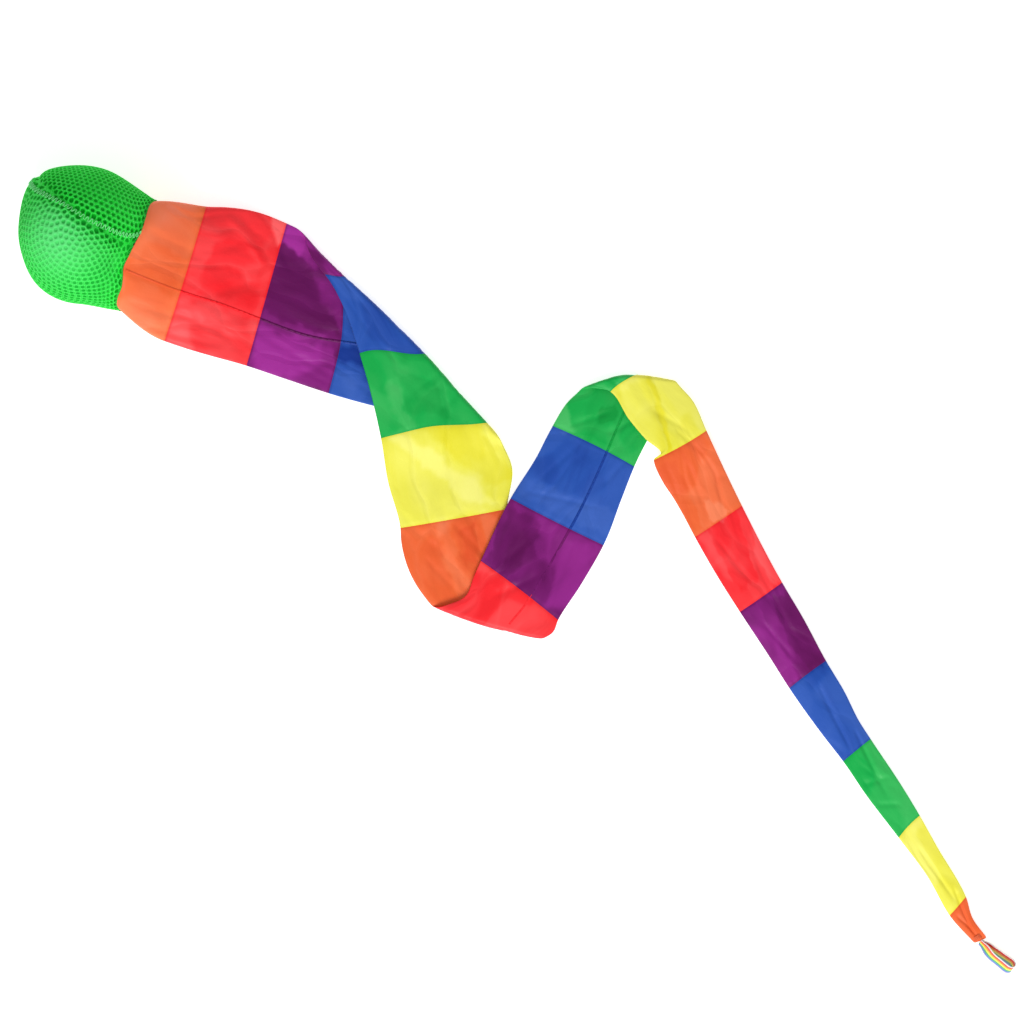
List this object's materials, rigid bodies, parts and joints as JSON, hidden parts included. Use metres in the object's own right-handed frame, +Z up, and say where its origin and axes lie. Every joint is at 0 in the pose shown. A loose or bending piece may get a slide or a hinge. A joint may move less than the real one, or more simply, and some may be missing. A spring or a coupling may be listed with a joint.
{
  "type": "comet ball with ribbon tail",
  "caption": "Soft ball in green air-mesh with a long tapered rainbow fabric tail and a small ribbon loop at the tip, laid down in a zigzag.",
  "frame": {"origin": "the point on which the ball stands, right under its centre", "axes": "+Z up, +X from the ball towards the side where the tail's tip lies, so the tail runs towards +X and -Y"},
  "size_m": [0.6663, 0.5328, 0.0925],
  "materials": {
    "air_mesh_green": "matt knitted spacer mesh with open hexagonal cells",
    "core_rubber": "smooth matt rubber",
    "thread_green": "matt sewing thread",
    "satin_orange": "thin shiny taffeta",
    "satin_red": "thin shiny taffeta",
    "satin_purple": "thin shiny taffeta",
    "satin_blue": "thin shiny taffeta",
    "satin_green": "thin shiny taffeta",
    "satin_yellow": "thin shiny taffeta",
    "seam_ridge": "folded and stitched taffeta",
    "ribbon_rainbow": "woven grosgrain ribbon with lengthwise stripes"
  },
  "bodies": {
    "ball": {"core_ball": "core_rubber", "cover_panel_large": "air_mesh_green", "cover_panel_small": "air_mesh_green", "cover_seam_thread": "thread_green", "mouth_seam_thread": "thread_green", "band_01_orange": "satin_orange"},
    "tail_a": {"band_02_red": "satin_red", "band_03a_purple": "satin_purple", "band_04a_blue": "satin_blue", "band_05a_green": "satin_green", "tail_seam_a": "seam_ridge"},
    "tail_b": {"band_03b_purple": "satin_purple", "band_04b_blue": "satin_blue", "band_05b_green": "satin_green", "band_06_yellow": "satin_yellow", "band_07_orange": "satin_orange", "band_08b_red": "satin_red", "tail_seam_b": "seam_ridge"},
    "tail_c": {"band_08c_red": "satin_red", "band_09_purple": "satin_purple", "band_10_blue": "satin_blue", "band_11c_green": "satin_green", "band_12c_yellow": "satin_yellow", "tail_seam_c": "seam_ridge"},
    "tail_d": {"band_11d_green": "satin_green", "band_12d_yellow": "satin_yellow", "band_13_orange": "satin_orange", "band_14_red": "satin_red", "band_15_purple": "satin_purple", "band_16_blue": "satin_blue", "band_17_green": "satin_green", "band_18_yellow": "satin_yellow", "band_19_orange": "satin_orange", "tail_seam_d": "seam_ridge", "tip_tack": "thread_green"},
    "loop": {"loop_ribbon": "ribbon_rainbow"}
  },
  "joints": [
    {"name": "neck_lift", "type": "hinge", "parent": "ball", "child": "tail_a", "pos_m": [0.06843, -0.02239, 0.0225], "axis": [-0.311, -0.9504, 0], "range_deg": [0, 100]},
    {"name": "fold_first", "type": "hinge", "parent": "tail_a", "child": "tail_b", "pos_m": [0.217, -0.071, 0.00445], "axis": [-0.6905, 0.7233, 0], "range_deg": [0, 180]},
    {"name": "fold_second", "type": "hinge", "parent": "tail_b", "child": "tail_c", "pos_m": [0.269, -0.259, 0.00445], "axis": [0.9908, -0.1353, 0], "range_deg": [0, 180]},
    {"name": "fold_third", "type": "hinge", "parent": "tail_c", "child": "tail_d", "pos_m": [0.367, -0.096, 0.00445], "axis": [-1, -0.0041, 0], "range_deg": [0, 180]},
    {"name": "loop_flip", "type": "hinge", "parent": "tail_d", "child": "loop", "pos_m": [0.596, -0.47, 0.004], "axis": [-0.5299, -0.848, 0], "range_deg": [0, 120]}
  ]
}
